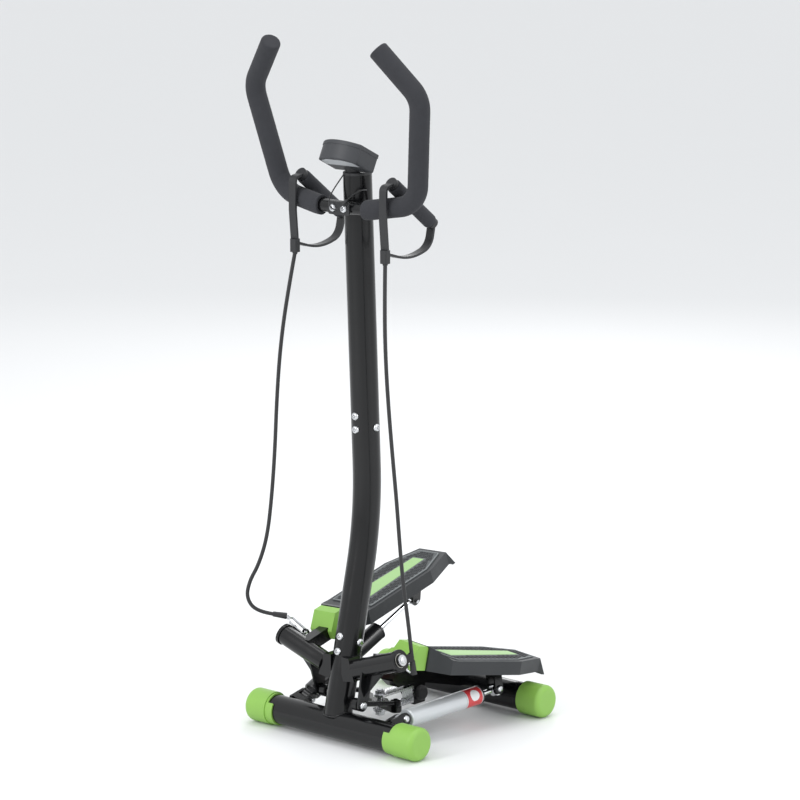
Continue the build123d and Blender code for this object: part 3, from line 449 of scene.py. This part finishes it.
# ---------- weld beads ----------
def weld_bead(name, foot, way, radius, bar, bar_radius, size=1.7, steps=90, lowest=-1e9):
    """A rippled bead where a round tube meets a bar that runs along X; bar is its (Y, Z)."""
    across = Vector((1, 0, 0))
    third = way.cross(across).normalized()
    data = bpy.data.curves.new(name, "CURVE")
    data.dimensions = "3D"
    line = data.splines.new("POLY")
    line.points.add(steps - 1)
    line.use_cyclic_u = True
    for i, point in enumerate(line.points):
        turn = 2 * pi * i / steps
        start = foot + (across * cos(turn) + third * sin(turn)) * (radius + 0.4)
        dy, dz = start.y - bar[0], start.z - bar[1]
        a = way.y ** 2 + way.z ** 2
        b = dy * way.y + dz * way.z
        c = dy ** 2 + dz ** 2 - bar_radius ** 2
        s = max((-b + sqrt(max(b * b - a * c, 0))) / a, lowest)
        place = (start + way * s) * MM
        point.co = (*place, 1)
        point.radius = 1 + 0.22 * sin(i * 2.1) + 0.2 * noise.noise(place * 400)
    data.bevel_depth = size * MM
    data.bevel_resolution = 3
    data.materials.append(FINISHES["black_paint"])
    piece = bpy.data.objects.new(name, data)
    bpy.context.collection.objects.link(piece)
    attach(piece, "frame")


POST_FOOT = Vector((0, -162, 45))
LOWER_DIR = (Vector((0, -82.5, 378.2)) - POST_FOOT).normalized()
UPPER_DIR = (Vector((0, -105, 956)) - Vector((0, -82.5, 378.2))).normalized()
weld_bead("post_weld", POST_FOOT, LOWER_DIR, 24.0, (-166, 28.7), 24.5, lowest=-4.0)

# ---------- bolt sockets, with painted shade in them ---
BOLTS = []
for height in (148, 173):
    BOLTS.append((POST_FOOT + LOWER_DIR * ((height - POST_FOOT.z) / LOWER_DIR.z),
                  Vector((0, -LOWER_DIR.z, LOWER_DIR.y))))
for height in (528, 551):
    BOLTS.append((Vector((0, -82.5 + (height - 378.2) * UPPER_DIR.y / UPPER_DIR.z, height)),
                  Vector((0, -UPPER_DIR.z, UPPER_DIR.y))))
for height in (168, 530):
    middle = (POST_FOOT + LOWER_DIR * ((height - POST_FOOT.z) / LOWER_DIR.z) if height < 300 else
              Vector((0, -82.5 + (height - 378.2) * UPPER_DIR.y / UPPER_DIR.z, height)))
    BOLTS += [(middle, Vector((1, 0, 0))), (middle, Vector((-1, 0, 0)))]
for x in (-12, 12):
    BOLTS.append((Vector((x, -130, 904)), Vector((0, -1, 0))))

bolt_points = [v.co.copy() for v in frame["nodes"]["frame_bolts"].data.vertices]


def bolt_sockets(bm):
    """A small hexagon let into the top of each dome that is there, coloured near-black as painted shade for the
    depth of the socket.
    """
    for middle, way in BOLTS:
        tops = [(p / MM - middle).dot(way) for p in bolt_points
                if ((p / MM - middle) - way * (p / MM - middle).dot(way)).length < 6.5]
        if not tops or max(tops) < 20:
            continue
        top = max(tops)
        across = way.orthogonal().normalized()
        third = way.cross(across)
        rings = []
        for radius, lift in ((3.0, -0.5), (2.9, 0.1), (2.2, 0.1), (2.0, -0.05)):
            rings.append([bm.verts.new((middle + way * (top + lift) + (across * cos(pi * i / 3)
                          + third * sin(pi * i / 3)) * radius) * MM) for i in range(6)])
        for low, high in zip(rings, rings[1:]):
            for i in range(6):
                bm.faces.new((low[i], low[(i + 1) % 6], high[(i + 1) % 6], high[i]))
        bm.faces.new(rings[-1])


add_mesh("bolt_sockets", bolt_sockets, RECESS_SHADE, "frame")

# ---------- console: digits, display frame, back label and notch ----------
TILT = radians(26)
FACE_Y, FACE_Z = -98.4, 990
DISPLAY_MIDDLE = 33
FACE = Matrix(((-1, 0, 0, 0), (0, -cos(TILT), sin(TILT), FACE_Y),
               (0, sin(TILT), cos(TILT), FACE_Z), (0, 0, 0, 1)))
FACE = Matrix.Scale(MM, 4) @ FACE
SEGMENTS = [((-2.4, 5.4), (2.4, 6.6)), ((-2.4, -6.6), (2.4, -5.4)), ((-3.6, 0.5), (-2.4, 5.6)),
            ((2.4, 0.5), (3.6, 5.6)), ((-3.6, -5.6), (-2.4, -0.5)), ((2.4, -5.6), (3.6, -0.5))]


def digits(bm):
    """Four plain zeros and a colon on the display."""
    for column in (-18, -8, 8, 18):
        for (x0, y0), (x1, y1) in SEGMENTS:
            near, far = column + x0, column + x1
            low, high = DISPLAY_MIDDLE + y0, DISPLAY_MIDDLE + y1
            corners = [(near, low), (far, low), (far, high), (near, high)]
            slab(FACE, [(corners, -0.55), (inset(corners, 0.12), -0.40)])(bm)
    for y in (DISPLAY_MIDDLE - 3, DISPLAY_MIDDLE + 3):
        corners = [(-0.8, y - 0.8), (0.8, y - 0.8), (0.8, y + 0.8), (-0.8, y + 0.8)]
        slab(FACE, [(corners, -0.55), (inset(corners, 0.1), -0.40)])(bm)


add_mesh("display_digits", digits, DIGIT, "frame")


def display_frame(bm):
    """A pale printed line round the display window."""
    window = [(-30, 18.5), (30, 18.5), (30, 47.5), (-30, 47.5)]
    tread_border(FACE, window, 0.9, -0.05, 0.12)(bm)


add_mesh("display_frame", display_frame, LABEL_GREY, "frame")


def back_label(bm):
    """A pale plain label on the console's underside, in front of the neck."""
    edge = [(-36, 30), (36, 30), (34, 47), (16, 56), (-16, 56), (-34, 47)]
    slab(FACE, [(edge, -32.9), (edge, -33.15), (inset(edge, 0.3), -33.3)])(bm)


add_mesh("console_back_label", back_label, LABEL_GREY, "frame")


def console_notch(bm):
    """A small dark plate on the lower front edge of the case: painted shade that stands in for a recess."""
    edge = [(-4, 57), (4, 57), (3.4, 62.5), (-3.4, 62.5)]
    slab(FACE, [(edge, -32.8), (edge, -33.2), (inset(edge, 0.4), -33.35)])(bm)


add_mesh("console_notch", console_notch, RECESS_SHADE, "frame")

# ---------- floor, light ----------
FAR = 30  # metres
mesh = bpy.data.meshes.new("floor")
bm = bmesh.new()
bm.faces.new([bm.verts.new((x, y, 0)) for x, y in ((-FAR, -FAR), (FAR, -FAR), (FAR, FAR), (-FAR, FAR))])
bm.to_mesh(mesh)
bm.free()
mesh.materials.append(finish("floor_pale", (0.78, 0.785, 0.79), 0.7, mottle=0.01, mottle_size=0.5, grain=0.02))
ground = bpy.data.objects.new("floor", mesh)
bpy.context.collection.objects.link(ground)

world = bpy.data.worlds.new("studio")
world.use_nodes = True
world.node_tree.nodes["Background"].inputs["Color"].default_value = (0.97, 0.985, 1.0, 1)
world.node_tree.nodes["Background"].inputs["Strength"].default_value = 1.0
bpy.context.scene.world = world
bpy.context.scene.view_settings.view_transform = "Standard"


def softbox(name, place, aim, size, watts):
    data = bpy.data.lights.new(name, "AREA")
    data.shape = "RECTANGLE"
    data.size, data.size_y = size
    data.energy = watts
    light = bpy.data.objects.new(name, data)
    light.location = place
    light.rotation_euler = (Vector(aim) - Vector(place)).to_track_quat("-Z", "Y").to_euler()
    bpy.context.collection.objects.link(light)


AIM = (0, 0, 0.55)
softbox("key_left", (-0.6, -3.4, 2.4), AIM, (0.4, 2.6), 52)
softbox("fill_right", (3.4, 0.6, 1.9), AIM, (0.45, 2.4), 26)
softbox("top", (0.2, 0.2, 3.6), AIM, (2.2, 2.2), 34)
softbox("rim_back", (-2.0, 2.8, 2.2), AIM, (0.6, 2.2), 20)
